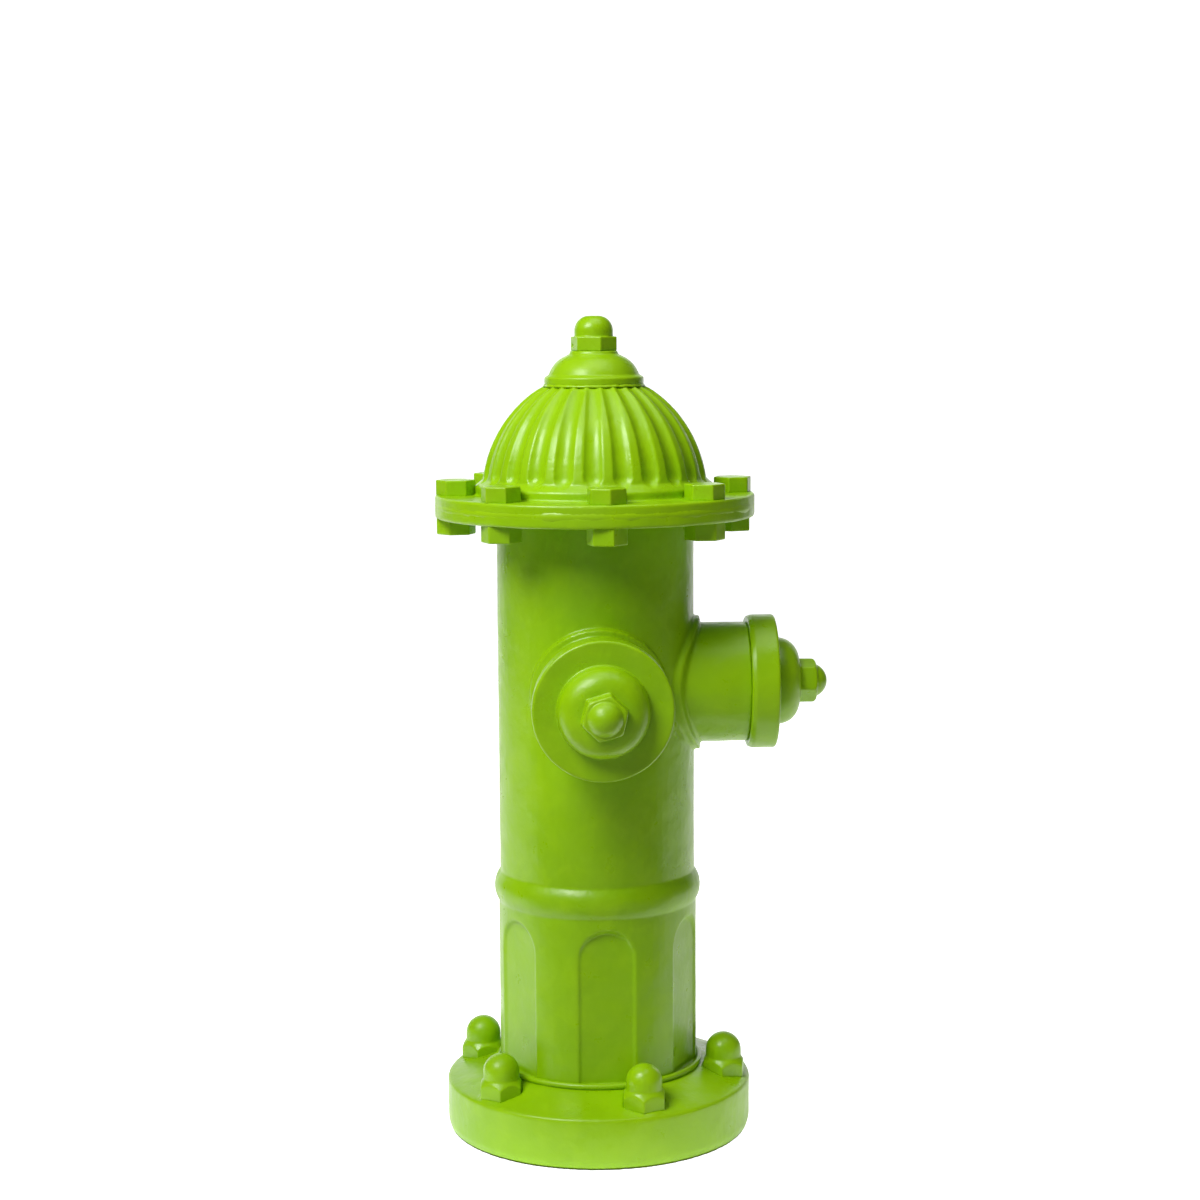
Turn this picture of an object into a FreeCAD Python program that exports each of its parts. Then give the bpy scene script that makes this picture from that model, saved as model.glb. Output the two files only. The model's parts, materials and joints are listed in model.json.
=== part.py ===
import FreeCAD, Part
import math
import os
import re
import Sketcher

# Dry-top three-way fire hydrant.  Millimetres, +Z up, origin at the centre of
# the foot's underside.  The front outlet faces -Y, the right one +X, the rear
# one +Y.  Outlet pieces are drawn along their own Z, which is then turned to
# point out of the barrel; "reach" sizes are distances from the barrel's axis.

SIZES = {
    # foot
    "foot_radius": 142.8, "foot_rim_height": 46.8, "foot_crown_height": 60.5, "foot_edge": 3,
    "plate_radius": 131, "plate_thickness": 20, "inlet_radius": 50.8,
    "riser_circle": 95.25, "riser_hole_radius": 7.94, "riser_hole_depth": 16,
    "stud_circle": 119.2, "stud_radius": 11.1, "acorn_across_flats": 36.6, "acorn_seat": 49.5,
    "acorn_hex_height": 16.5, "acorn_chamfer": 6.5,
    "acorn_dome_radius": 16.4, "acorn_dome_centre": 72.6,
    "gasket_thickness": 2, "collar_radius": 104.8, "collar_height": 39.7, "casting_gap": 0.3,
    "inlet_lip": 6, "seal_groove_width": 4.5, "seal_groove_depth": 3.4, "stud_socket_floor": 4,
    "foot_ring_minor": 2.5, "foot_ring_radius": 95.4,
    # barrel
    "barrel_radius": 91, "panel_radius": 92.5, "bore_radius": 78,
    "bead_curve": 22.5, "bead_low": 217.5, "bead_high": 245,
    "recess_floor": 87.2, "recess_top": 206, "recess_low": 62, "recess_half_width": 29,
    # bonnet joint
    "flange_radius": 147.5, "flange_low": 578.5, "joint_height": 588.65, "flange_top": 598.8,
    "bolt_circle": 128.5, "bolt_radius": 9.5, "bolt_across_flats": 31.4,
    "head_height": 14, "nut_height": 15.4, "seat_recess_radius": 104.5,
    # bonnet
    "ring_radius": 110.5, "ring_top": 608.5, "dome_radius": 115.45, "dome_inset": 11.3,
    "dome_wall": 8, "dome_foot": 611, "dome_top": 698.5, "boss_radius": 42, "boss_low": 664,
    "bonnet_bore_radius": 94, "flute_radius": 12, "flute_sweep": 122.3, "flute_rise": 3.45,
    # operating gear
    "bell_radius": 45.6, "bell_shoulder": 41.5, "bell_curve": 28,
    "bell_thread_radius": 34, "socket_floor": 676,
    "nut_seat": 730.3, "nut_across_flats": 37.3, "nut_hex_height": 12.7,
    "nut_dome_radius": 17.5, "total_height": 762,
    "stem_radius": 14.3, "stem_thread_radius": 11, "stem_flats": 22, "stem_lift": 25,
    "running_fit": 0.05, "fixed_fit": 0.02, "sleeve_radius": 19.5, "sleeve_low": 668, "collar_thickness": 11,
    "thrust_radius": 27, "washer_thickness": 3, "shank_radius": 17, "spigot_radius": 14.5,
    "spigot_length": 9.6, "weather_groove_radius": 21, "drive_pin_radius": 2, "drive_pin_height": 5,
    # packing plate and stem guide
    "packing_low": 588.15, "packing_thickness": 10, "packing_hub": 16, "hub_radius": 24, "stem_groove": 3.4,
    "guide_depth": 55, "guide_radius": 34, "guide_wall": 6, "guide_flange_radius": 49, "guide_flange": 7,
    "guide_floor": 12, "guide_circle": 42, "guide_screw_radius": 4,
    # stem
    "stem_low": 6, "stem_split": 430, "stem_foot_radius": 12.7, "flats_low": 470, "flats_high": 558,
    "coupling_radius": 23.5, "coupling_half": 30, "coupling_pin_radius": 4, "coupling_pin_offset": 14,
    # main valve
    "seat_thread_radius": 58, "seat_bore_radius": 46, "seat_top": 32, "valve_radius": 56,
    "valve_thickness": 12,
    # outlets
    "outlet_height": 421.2, "neck_radius": 55.5, "neck_reach": 140.5,
    "saddle_radius": 62.3, "saddle_reach": 96.8, "port_radius": 47,
    "throat_radius": 36, "socket_radius": 44, "socket_reach": 108,
    "lock_screw_radius": 3, "lock_screw_length": 12, "lock_screw_inset": 8.5,
    "hose_thread_radius": 38.9, "hose_thread_relief": 2.2, "hose_bore_radius": 31.75,
    "nozzle_reach": 159.5, "nozzle_flange_radius": 50, "nozzle_flange": 4, "cap_washer": 3,
    "cap_radius": 62.2, "cap_skirt_radius": 51, "cap_low": 141.1, "cap_face": 166.6,
    "cap_bowl_radius": 22, "cap_bowl_depth": 12, "cap_bowl_point": 16,
    "cap_dome_radius": 40.3, "cap_dome_round": 19.5, "cap_dome_reach": 189.6,
    "cap_hex_across_flats": 35.5, "cap_hex_reach": 206, "cap_hex_chamfer": 2.5,
    "cap_tip_radius": 14.6, "cap_tip_height": 9.5, "cap_tip_reach": 216.5,
}
RECESSES = 6
RECESS_PHASE = -87
FLUTES = 24
FLUTE_PHASE = -93
FLUTE_START = 9
FLUTE_ARC = 62
# The casting's stud holes aren't quite evenly spaced; the nuts point as they came tight.
STUD_ANGLES = (-72, -10, 52, 104, 157, 219)
ACORN_TURNS = (-22, -29, 15, 24, -23, -12)
FLANGE_BOLTS = 8
BOLT_PHASE = -87.5
HEAD_TURNS = (5, 32, 12, 40, 22, 50, -1, -4)
NUT_TURN = 9
RISER_HOLES = 8
OPERATING_NUT_TURN = -75
CAP_HEX_TURN = 16
GUIDE_SCREWS = 4
OUTLETS = {"front": 0, "right": 90, "rear": 180}

doc = FreeCAD.newDocument("FireHydrant")
sheet = doc.addObject("Spreadsheet::Sheet", "Sizes")
for row, (alias, size) in enumerate(SIZES.items(), 1):
    sheet.set(f"A{row}", alias)
    sheet.set(f"B{row}", str(size))
    sheet.setAlias(f"B{row}", alias)
doc.recompute()

nodes = []


def bound(text):
    """Point every size's name in an expression at the sheet."""
    return re.sub(r"\b([a-z]+_\w+)\b", r"Sizes.\1", str(text))


def value(text):
    """The present value of an expression in sheet sizes."""
    return float(sheet.evalExpression(bound(text)))


def bind(item, **sizes):
    for name, text in sizes.items():
        item.setExpression(name, bound(text))
    return item


def place(item, x="0", y="0", z="0", rotation=None):
    """Put an item somewhere, its position bound to the sheet."""
    if rotation:
        item.Placement = FreeCAD.Placement(FreeCAD.Vector(), rotation)
    for name, text in zip("xyz", (x, y, z)):
        item.setExpression(f"Placement.Base.{name}", bound(text))
    return item


def turn_z(degrees):
    return FreeCAD.Rotation(FreeCAD.Vector(0, 0, 1), degrees)


def outward(degrees):
    """Turns local Z to the horizontal direction of an outlet."""
    return turn_z(degrees).multiply(FreeCAD.Rotation(FreeCAD.Vector(1, 0, 0), 90))


def on_circle(item, circle, angle, z="0", rotation=0):
    """Put an item on a circle round the axis, turned by angle plus its own rotation."""
    return place(item, f"({circle}) * cos({angle})", f"({circle}) * sin({angle})", z,
                 turn_z(angle + rotation))


def keep(item, label):
    """Mark an object as a piece of the hydrant that is written out."""
    item.Label = label
    nodes.append(item)
    return item


def outline_sketch(body, name, outline):
    """Closed outline in radius and height; a corner may start an arc: (r, z, arc radius)."""
    sketch = body.newObject("Sketcher::SketchObject", name)
    plane = next(f for f in body.Origin.OriginFeatures if f.Role == "XZ_Plane")
    sketch.AttachmentSupport = [(plane, "")]
    sketch.MapMode = "FlatFace"
    corners = [FreeCAD.Vector(value(c[0]), value(c[1]), 0) for c in outline]
    starts, ends = [], []
    for i, corner in enumerate(outline):
        a, b = corners[i], corners[(i + 1) % len(corners)]
        if len(corner) == 2:
            sketch.addGeometry(Part.LineSegment(a, b))
            starts.append(1)
            ends.append(2)
            continue
        radius = value(corner[2])
        middle = (a + b) * 0.5
        across = FreeCAD.Vector(a.y - b.y, b.x - a.x, 0).normalize()
        rise = math.sqrt(radius ** 2 - ((b - a).Length / 2) ** 2)
        side = 1 if radius > 0 else -1
        centre = middle + across * rise * side
        first, last = (a, b) if radius > 0 else (b, a)
        angles = [math.atan2(p.y - centre.y, p.x - centre.x) for p in (first, last)]
        circle = Part.Circle(centre, FreeCAD.Vector(0, 0, 1), abs(radius))
        sketch.addGeometry(Part.ArcOfCircle(circle, *angles))
        starts.append(1 if radius > 0 else 2)
        ends.append(2 if radius > 0 else 1)
    for i, corner in enumerate(outline):
        after = (i + 1) % len(outline)
        sketch.addConstraint(Sketcher.Constraint("Coincident", i, ends[i], after, starts[after]))
        for kind, text, axis in (("DistanceX", corner[0], -2), ("DistanceY", corner[1], -1)):
            if str(text) == "0":
                sketch.addConstraint(Sketcher.Constraint("PointOnObject", i, starts[i], axis))
                continue
            size = value(text)
            k = sketch.addConstraint(Sketcher.Constraint(kind, -1, 1, i, starts[i], size))
            sketch.setExpression(f"Constraints[{k}]", bound(text))
        if len(corner) == 3:
            k = sketch.addConstraint(Sketcher.Constraint("Radius", i, abs(value(corner[2]))))
            sketch.setExpression(f"Constraints[{k}]", f"abs({bound(corner[2])})")
    return sketch


def turned(name, outline):
    """A body of revolution about local Z."""
    body = doc.addObject("PartDesign::Body", name)
    sketch = outline_sketch(body, f"{name}_outline", outline)
    spin = body.newObject("PartDesign::Revolution", f"{name}_turned")
    spin.Profile = sketch
    spin.ReferenceAxis = (sketch, ["V_Axis"])
    spin.Angle = 360
    sketch.Visibility = False
    return body


def cylinder(name, radius, height):
    return bind(doc.addObject("Part::Cylinder", name), Radius=radius, Height=height)


def hexagon(name, across_flats, height):
    prism = doc.addObject("Part::Prism", name)
    prism.Polygon = 6
    return bind(prism, Circumradius=f"({across_flats}) / sqrt(3)", Height=height)


def chamfered_hexagon(name, across_flats, height, chamfer, top_radius):
    """Hexagonal nut blank, coned at the top."""
    prism = hexagon(f"{name}_prism", across_flats, height)
    corner = f"(({across_flats}) / sqrt(3) + 0.2)"
    cone = turned(f"{name}_cone", [("0", "0"), (corner, "0"), (corner, f"{height} - {chamfer}"),
                                   (top_radius, height), ("0", height)])
    return common(name, [prism, cone])


def sphere(name, radius):
    return bind(doc.addObject("Part::Sphere", name), Radius=radius)


def fused(name, shapes):
    union = doc.addObject("Part::MultiFuse", name)
    union.Shapes = shapes
    return union


def cut(name, base, tool):
    difference = doc.addObject("Part::Cut", name)
    difference.Base = base
    difference.Tool = tool
    return difference


def common(name, shapes):
    overlap = doc.addObject("Part::MultiCommon", name)
    overlap.Shapes = shapes
    return overlap


def group(name, items):
    """Separate identical solids that share one node."""
    bundle = doc.addObject("Part::Compound", name)
    bundle.Links = items
    return bundle


def spread(count, phase):
    """Even angles round the axis."""
    return [phase + i * 360 / count for i in range(count)]


def hole_ring(name, angles, circle, radius, low, high):
    holes = []
    for i, angle in enumerate(angles):
        hole = cylinder(f"{name}_{i}", radius, f"({high}) - ({low})")
        holes.append(on_circle(hole, circle, angle, low))
    return holes


# --- foot ---------------------------------------------------------------------

def make_base_plate():
    """Inlet plate, flush in the foot's underside, tapped for the riser below."""
    disc = turned("plate_disc", [
        ("inlet_radius", "0"), ("plate_radius", "0"), ("plate_radius", "plate_thickness"),
        ("seat_thread_radius + seal_groove_width", "plate_thickness"),
        ("seat_thread_radius + seal_groove_width", "plate_thickness - seal_groove_depth"),
        ("seat_thread_radius + running_fit", "plate_thickness - seal_groove_depth"),
        ("seat_thread_radius + running_fit", "inlet_lip"), ("inlet_radius", "inlet_lip")])
    holes = hole_ring("riser_hole", spread(RISER_HOLES, 22.5), "riser_circle", "riser_hole_radius", "-1",
                      "riser_hole_depth")
    holes += hole_ring("stud_socket", STUD_ANGLES, "stud_circle", "stud_radius", "stud_socket_floor",
                       "plate_thickness + 1")
    keep(cut("base_plate", disc, fused("plate_holes", holes)), "base_plate")


def make_foot_flange():
    """Crowned skirt that clamps the barrel's collar down on the inlet plate."""
    slope = "(foot_crown_height - foot_rim_height) / (foot_radius - panel_radius)"
    casting = turned("foot_casting", [
        ("plate_radius + casting_gap", "0"), ("foot_radius - 2.5", "0"), ("foot_radius", "8"),
        ("foot_radius", "foot_rim_height - foot_edge", "foot_edge"),
        ("foot_radius - foot_edge", f"foot_rim_height + foot_edge * {slope}"),
        ("panel_radius + casting_gap", "foot_crown_height"),
        ("panel_radius + casting_gap", "collar_height + 0.1"),
        ("collar_radius + casting_gap", "collar_height + 0.1"),
        ("collar_radius + casting_gap", "plate_thickness"),
        ("plate_radius + casting_gap", "plate_thickness")])
    pad_low = "collar_height + casting_gap"
    pads = []
    pockets = []
    for i, (angle, turn) in enumerate(zip(STUD_ANGLES, ACORN_TURNS)):
        pad = cylinder(f"nut_pad_{i}", "acorn_across_flats / sqrt(3) - 1", f"acorn_seat - ({pad_low})")
        pads.append(on_circle(pad, "stud_circle", angle, pad_low))
        pocket = hexagon(f"nut_pocket_{i}", "acorn_across_flats + 0.5", "20")
        pockets.append(on_circle(pocket, "stud_circle", angle, "acorn_seat", turn))
    holes = hole_ring("foot_stud_hole", STUD_ANGLES, "stud_circle", "stud_radius + 0.6",
                      "plate_thickness - 1", "foot_crown_height + 10")
    solid = fused("foot_solid", [casting] + pads)
    keep(cut("foot_flange", solid, fused("foot_cuts", pockets + holes)), "foot_flange")


def make_foot_fasteners():
    studs, nuts = [], []
    for i, (angle, turn) in enumerate(zip(STUD_ANGLES, ACORN_TURNS)):
        stud = cylinder(f"stud_{i}", "stud_radius", "acorn_dome_centre - 2 - stud_socket_floor")
        studs.append(on_circle(stud, "stud_circle", angle, "stud_socket_floor + 0.2"))
        hexa = place(chamfered_hexagon(f"acorn_hex_{i}", "acorn_across_flats", "acorn_hex_height",
                                       "acorn_chamfer", "acorn_dome_radius + 0.3"), z="acorn_seat")
        body = place(cylinder(f"acorn_body_{i}", "acorn_dome_radius", "acorn_dome_centre - acorn_seat"),
                     z="acorn_seat")
        dome = place(sphere(f"acorn_dome_{i}", "acorn_dome_radius"), z="acorn_dome_centre")
        solid = fused(f"acorn_solid_{i}", [hexa, body, dome])
        bore = place(cylinder(f"acorn_bore_{i}", "stud_radius + fixed_fit", "acorn_dome_centre + 3"))
        nut = cut(f"acorn_{i}", solid, bore)
        nuts.append(on_circle(nut, "stud_circle", angle, "0", turn))
    keep(group("foot_studs", studs), "foot_studs")
    keep(group("foot_acorn_nuts", nuts), "foot_acorn_nuts")


def make_foot_seals():
    keep(turned("foot_gasket", [
        ("bore_radius + 2", "0"), ("collar_radius - 0.4", "0"),
        ("collar_radius - 0.4", "gasket_thickness"), ("bore_radius + 2", "gasket_thickness")]),
         "foot_gasket")
    place(nodes[-1], z="plate_thickness")
    ring = doc.addObject("Part::Torus", "foot_ring")
    bind(ring, Radius1="foot_ring_radius", Radius2="foot_ring_minor")
    keep(place(ring, z="foot_crown_height + foot_ring_minor - 0.6"), "foot_ring")


# --- barrel -------------------------------------------------------------------

def make_recess_cutters():
    """Arched panels sunk round the lower barrel, their sides drafted."""
    cutters = []
    floor_width = "(recess_half_width - 4)"
    spring = "(recess_top + 2 - recess_half_width)"
    depth = "(panel_radius + 1 - recess_floor)"
    for i, angle in enumerate(spread(RECESSES, RECESS_PHASE)):
        leaf = doc.addObject("Part::Wedge", f"recess_leaf_{i}")
        bind(leaf, Xmin=f"0 - {floor_width}", Xmax=floor_width, Ymin="0", Ymax=depth, Zmin="recess_low",
             Zmax=spring, X2min="0 - recess_half_width - 1", X2max="recess_half_width + 1",
             Z2min="recess_low", Z2max=spring)
        arch = bind(doc.addObject("Part::Cone", f"recess_arch_{i}"), Radius1=floor_width,
                    Radius2="recess_half_width + 1", Height=depth)
        place(arch, z=spring, rotation=FreeCAD.Rotation(FreeCAD.Vector(1, 0, 0), -90))
        solid = fused(f"recess_{i}", [leaf, arch])
        cutters.append(on_circle(solid, "recess_floor", angle, "0", -90))
    return cutters


def along(heading, reach):
    """The x and y of a point straight out from the axis, as expressions."""
    turn = math.radians(heading)
    return f"({reach}) * {math.sin(turn):.0f}", f"({reach}) * {-math.cos(turn):.0f}"


def outlet_bore(name, heading, radius, end, start="bore_radius / 2"):
    """A round bar or hole that points out of the barrel, from inside its bore."""
    bore = cylinder(name, radius, f"({end}) - ({start})")
    return place(bore, *along(heading, start), "outlet_height", outward(heading))


# The barrel, its flange and its three necks are one casting on the real thing.
# They are separate solids here, so that each is a simple shape round its hollow.

def make_barrel():
    foot = "plate_thickness + gasket_thickness"
    head = "joint_height - gasket_thickness"
    tube = turned("barrel_tube", [
        ("bore_radius", foot), ("collar_radius", foot), ("collar_radius", "collar_height"),
        ("panel_radius", "collar_height"), ("panel_radius", "bead_low", "bead_curve"),
        ("barrel_radius", "bead_high"), ("barrel_radius", head), ("bore_radius", head)])
    voids = make_recess_cutters()
    for side, heading in OUTLETS.items():
        voids.append(outlet_bore(f"barrel_port_{side}", heading, "port_radius + fixed_fit",
                                 "barrel_radius + 5"))
    keep(cut("barrel", tube, fused("barrel_voids", voids)), "barrel")


def make_barrel_flange():
    inner = "barrel_radius + fixed_fit"
    recess = "joint_height - gasket_thickness"
    ring = turned("flange_ring", [
        (inner, "flange_low - 3"), ("barrel_radius + 3", "flange_low"), ("flange_radius - 1", "flange_low"),
        ("flange_radius", "flange_low + 1"), ("flange_radius", "joint_height"),
        ("seat_recess_radius", "joint_height"), ("seat_recess_radius", recess), (inner, recess)])
    holes = hole_ring("barrel_bolt_hole", spread(FLANGE_BOLTS, BOLT_PHASE), "bolt_circle",
                      "bolt_radius + 0.8", "flange_low - 5", "flange_top")
    keep(cut("barrel_flange", ring, fused("barrel_bolt_holes", holes)), "barrel_flange")


def make_necks():
    """Outlet necks: each has a raised saddle round it and a port through the barrel's wall."""
    for side, heading in OUTLETS.items():
        bar = outlet_bore(f"neck_bar_{side}", heading, "neck_radius", "neck_reach")
        pad = outlet_bore(f"saddle_bar_{side}", heading, "saddle_radius", "saddle_reach + 10")
        drum = place(cylinder(f"saddle_drum_{side}", "saddle_reach", "2 * saddle_radius"),
                     z="outlet_height - saddle_radius")
        stock = fused(f"neck_stock_{side}", [bar, common(f"saddle_{side}", [pad, drum])])
        inside, water = [
            place(cylinder(f"neck_{name}_{side}", radius, "4 * saddle_radius"),
                  z="outlet_height - 2 * saddle_radius")
            for name, radius in (("inside", "barrel_radius + fixed_fit"), ("water", "bore_radius"))]
        port = outlet_bore(f"port_{side}", heading, "port_radius", "saddle_reach + 5")
        solid = fused(f"neck_solid_{side}", [cut(f"neck_outer_{side}", stock, inside),
                                             cut(f"port_trimmed_{side}", port, water)])
        bores = [outlet_bore(f"throat_{side}", heading, "throat_radius", "neck_reach + 1"),
                 outlet_bore(f"socket_{side}", heading, "socket_radius", "neck_reach + 1", "socket_reach"),
                 lock_screw(f"neck_lock_{side}", heading, "lock_screw_radius + fixed_fit")]
        keep(cut(f"neck_{side}", solid, fused(f"neck_bores_{side}", bores)), f"neck_{side}")


# --- outlets ------------------------------------------------------------------

def lock_screw(name, heading, radius):
    """One short screw across the nozzle's thread, at the joint line."""
    x, y = along(heading, "neck_reach - lock_screw_inset")
    return place(cylinder(name, radius, "lock_screw_length"), x, y, "outlet_height + socket_radius",
                 outward(heading))


def make_nozzle_bodies():
    for side, heading in OUTLETS.items():
        seated = "socket_reach + gasket_thickness"
        flange = "neck_reach + nozzle_flange"
        relief = "hose_thread_radius - hose_thread_relief"
        turning = turned(f"nozzle_turning_{side}", [
            ("hose_bore_radius", seated), ("socket_radius", seated), ("socket_radius", "neck_reach"),
            ("nozzle_flange_radius", "neck_reach"), ("nozzle_flange_radius", flange), (relief, flange),
            (relief, f"{flange} + 2"), ("hose_thread_radius", f"{flange} + 3.5"),
            ("hose_thread_radius", "nozzle_reach - 1.5"), ("hose_thread_radius - 1.5", "nozzle_reach"),
            ("hose_bore_radius", "nozzle_reach")])
        notch = place(cylinder(f"nozzle_notch_{side}", "lock_screw_radius + fixed_fit",
                               "lock_screw_length + 2"), "0", "socket_radius",
                      "neck_reach - lock_screw_inset - 0.5")
        nozzle = cut(f"nozzle_{side}", turning, notch)
        keep(place(nozzle, z="outlet_height", rotation=outward(heading)), f"nozzle_{side}")
        rim = "socket_radius - 0.2"
        seal = turned(f"nozzle_seal_{side}", [
            ("throat_radius", "socket_reach"), (rim, "socket_reach"), (rim, seated),
            ("throat_radius", seated)])
        keep(place(seal, z="outlet_height", rotation=outward(heading)), f"nozzle_seal_{side}")
    screws = [lock_screw(f"lock_screw_{side}", heading, "lock_screw_radius")
              for side, heading in OUTLETS.items()]
    keep(group("nozzle_lock_screws", screws), "nozzle_lock_screws")


def make_caps():
    seat = "nozzle_reach + cap_washer"
    thread = "hose_thread_radius + running_fit"
    tip_curve = "(cap_tip_radius ^ 2 + cap_tip_height ^ 2) / (2 * cap_tip_height)"
    for side, heading in OUTLETS.items():
        rim = "hose_thread_radius - 0.6"
        washer = turned(f"cap_gasket_{side}", [
            ("hose_bore_radius", "nozzle_reach + 0.2"), (rim, "nozzle_reach + 0.2"), (rim, seat),
            ("hose_bore_radius", seat)])
        keep(place(washer, z="outlet_height", rotation=outward(heading)), f"cap_gasket_{side}")
        bowl = turned(f"cap_bowl_{side}", [
            ("0", "nozzle_reach + cap_bowl_point"), ("cap_bowl_radius", "nozzle_reach + cap_bowl_depth"),
            ("hose_bore_radius - 2", seat), (thread, seat), (thread, "neck_reach + nozzle_flange + 3"),
            ("cap_skirt_radius", "neck_reach + nozzle_flange + 1"), ("cap_skirt_radius", "cap_low"),
            ("cap_radius - 1.5", "cap_low"), ("cap_radius", "cap_low + 4"),
            ("cap_radius", "cap_face - 2", "2"), ("cap_radius - 2", "cap_face"),
            ("cap_dome_radius", "cap_face"),
            ("cap_dome_radius", "cap_dome_reach - cap_dome_round", "cap_dome_round"),
            ("cap_dome_radius - cap_dome_round", "cap_dome_reach"), ("cap_tip_radius", "cap_dome_reach"),
            ("cap_tip_radius", "cap_tip_reach - cap_tip_height", tip_curve), ("0", "cap_tip_reach")])
        lug = chamfered_hexagon(f"cap_hex_{side}", "cap_hex_across_flats",
                                "(cap_hex_reach - cap_dome_reach + 3)", "cap_hex_chamfer",
                                "cap_hex_across_flats / 2")
        place(lug, z="cap_dome_reach - 3", rotation=turn_z(CAP_HEX_TURN))
        cap = fused(f"cap_{side}", [bowl, lug])
        keep(place(cap, z="outlet_height", rotation=outward(heading)), f"cap_{side}")


# --- bonnet -------------------------------------------------------------------

def make_flute_cutters():
    """Scoops that follow the dome's meridians and run out towards the top."""
    cutters = []
    start = math.radians(FLUTE_START)
    rise = FreeCAD.Vector(math.cos(start), 0, math.sin(start))
    across = FreeCAD.Vector(-math.sin(start), 0, math.cos(start))
    base = FreeCAD.Rotation(rise, across, FreeCAD.Vector(0, -1, 0), "XYZ")
    for i, angle in enumerate(spread(FLUTES, FLUTE_PHASE)):
        arc = doc.addObject("Part::Torus", f"flute_arc_{i}")
        arc.Angle3 = FLUTE_ARC
        bind(arc, Radius1="flute_sweep", Radius2="flute_radius")
        place(arc, "0 - dome_inset", "0", "flange_top + flute_rise", base)
        ball = place(sphere(f"flute_end_{i}", "flute_radius"), f"flute_sweep * {rise.x} - dome_inset", "0",
                     f"flange_top + flute_rise + flute_sweep * {rise.z}")
        scoop = fused(f"flute_{i}", [arc, ball])
        scoop.Placement.Rotation = turn_z(angle)
        cutters.append(scoop)
    return cutters


def dome_height(radius, wall="0"):
    """Height of the dome's surface at a radius, a wall's thickness in from the outside."""
    return f"flange_top + sqrt((dome_radius - {wall}) ^ 2 - ({radius} + dome_inset) ^ 2)"


def dome_reach(height):
    return f"sqrt(dome_radius ^ 2 - ({height} - flange_top) ^ 2) - dome_inset"


def make_bonnet():
    ledge = "flange_top + 0.85"
    sleeve = "sleeve_radius + running_fit"
    casting = turned("bonnet_casting", [
        ("seat_recess_radius", "joint_height"), ("flange_radius", "joint_height"),
        ("flange_radius", "flange_top - 1"), ("flange_radius - 1", "flange_top"),
        ("ring_radius", "flange_top"),
        ("ring_radius", "ring_top - 2"), ("ring_radius - 2", "ring_top"),
        (f"{dome_reach('dome_foot')} + 2", "dome_foot"),
        (dome_reach("dome_foot + 2"), "dome_foot + 2", "dome_radius"),
        (dome_reach("dome_top"), "dome_top"), ("bell_thread_radius", "dome_top"),
        ("bell_thread_radius", "socket_floor"), (sleeve, "socket_floor"), (sleeve, "boss_low"),
        ("boss_radius", "boss_low"),
        ("boss_radius", dome_height("boss_radius", "dome_wall"), "dome_wall - dome_radius"),
        ("bonnet_bore_radius", dome_height("bonnet_bore_radius", "dome_wall")), ("bonnet_bore_radius", ledge),
        ("seat_recess_radius", ledge)])
    holes = hole_ring("bonnet_bolt_hole", spread(FLANGE_BOLTS, BOLT_PHASE), "bolt_circle",
                      "bolt_radius + 0.8", "joint_height - 5", "flange_top + 5")
    keep(cut("bonnet", casting, fused("bonnet_cuts", holes + make_flute_cutters())), "bonnet")


def make_bonnet_fasteners():
    bolts, nuts = [], []
    nut_low = "flange_low - nut_height"
    for i, (angle, turn) in enumerate(zip(spread(FLANGE_BOLTS, BOLT_PHASE), HEAD_TURNS)):
        head = place(hexagon(f"bolt_head_{i}", "bolt_across_flats", "head_height"), z="flange_top")
        shank = place(cylinder(f"bolt_shank_{i}", "bolt_radius", f"flange_top + 1 - ({nut_low} + 1.5)"),
                      z=f"{nut_low} + 1.5")
        bolt = fused(f"bolt_{i}", [head, shank])
        bolts.append(on_circle(bolt, "bolt_circle", angle, "0", turn))
        blank = place(hexagon(f"nut_blank_{i}", "bolt_across_flats", "nut_height"), z=nut_low)
        bore = place(cylinder(f"nut_bore_{i}", "bolt_radius + fixed_fit", "nut_height + 2"),
                     z=f"{nut_low} + 1.4")
        nut = cut(f"nut_{i}", blank, bore)
        nuts.append(on_circle(nut, "bolt_circle", angle, "0", turn + NUT_TURN))
    keep(group("bonnet_bolts", bolts), "bonnet_bolts")
    keep(group("bonnet_nuts", nuts), "bonnet_nuts")


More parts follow.
